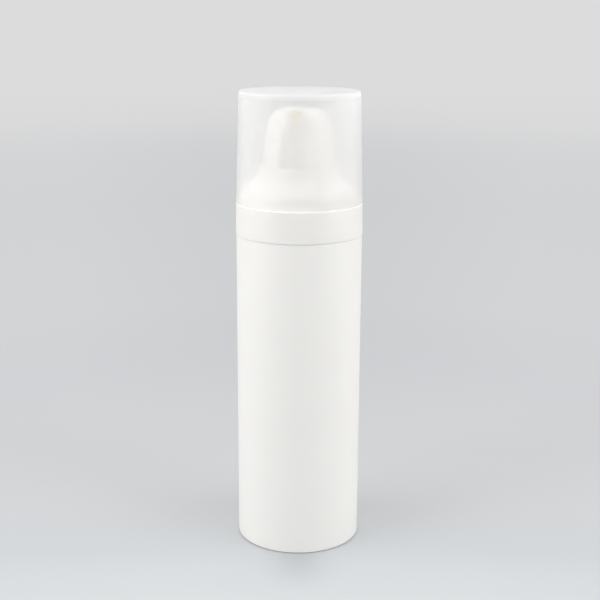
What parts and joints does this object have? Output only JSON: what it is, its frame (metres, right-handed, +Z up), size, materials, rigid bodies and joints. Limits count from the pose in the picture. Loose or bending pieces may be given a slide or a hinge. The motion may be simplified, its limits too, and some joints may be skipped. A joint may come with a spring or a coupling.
{
  "type": "airless pump bottle",
  "caption": "Slim straight-sided airless pump bottle with a white body, a shoulder collar, a scooped press actuator with a short spout, and a frosted overcap.",
  "frame": {"origin": "centre of the bottle's foot ring, on the plane it stands on", "axes": "+Z up along the bottle's axis; -Y is the front, where the nozzle points, turned 6 degrees towards -X"},
  "size_m": [0.0342, 0.0342, 0.1246],
  "materials": {
    "body_white": "satin moulded polypropylene, slightly warm white",
    "base_white": "satin moulded polypropylene",
    "follower_natural": "waxy natural polyethylene",
    "soft_seal": "soft thermoplastic rubber",
    "pump_natural": "natural moulded polypropylene",
    "ball_steel": "ground stainless steel",
    "piston_soft": "soft natural polyethylene",
    "spring_steel": "drawn stainless wire",
    "closure_white": "moulded polypropylene",
    "collar_white": "semi-gloss moulded polypropylene, slightly warm white",
    "actuator_white": "satin moulded polypropylene",
    "core_natural": "natural polypropylene, pale cream",
    "cap_frosted": "frosted translucent polypropylene"
  },
  "bodies": {
    "bottle": {"bottle_body": "body_white", "base_plug": "base_white", "neck_gasket": "soft_seal", "pump_housing": "pump_natural", "housing_retainer": "pump_natural", "stem_seal": "soft_seal", "return_spring": "spring_steel", "snap_closure": "closure_white", "shoulder_collar": "collar_white"},
    "follower": {"follower_piston": "follower_natural"},
    "check_ball": {"inlet_ball": "ball_steel"},
    "pump_stem": {"stem": "pump_natural", "valve_rod": "pump_natural"},
    "piston": {"pump_piston": "piston_soft"},
    "actuator": {"actuator": "actuator_white", "spout_core": "core_natural"},
    "cap": {"overcap": "cap_frosted"}
  },
  "joints": [
    {"name": "cap_lift", "type": "slide", "parent": "bottle", "child": "cap", "axis": [0, 0, 1], "range_m": [0, 0.045]},
    {"name": "pump_press", "type": "slide", "parent": "bottle", "child": "pump_stem", "axis": [0, 0, -1], "range_m": [0, 0.004], "stiffness_N_per_m": 1500, "springref_m": -0.005, "deforming": ["return_spring"]},
    {"name": "actuator_turn", "type": "hinge", "parent": "pump_stem", "child": "actuator", "pos_m": [0, 0, 0.105], "axis": [0, 0, 1], "continuous": true},
    {"name": "piston_play", "type": "slide", "parent": "pump_stem", "child": "piston", "axis": [0, 0, 1], "range_m": [0, 0.0008]},
    {"name": "ball_lift", "type": "slide", "parent": "bottle", "child": "check_ball", "axis": [0, 0, 1], "range_m": [0, 0.0008]},
    {"name": "follower_rise", "type": "slide", "parent": "bottle", "child": "follower", "axis": [0, 0, 1], "range_m": [0, 0.07]}
  ]
}
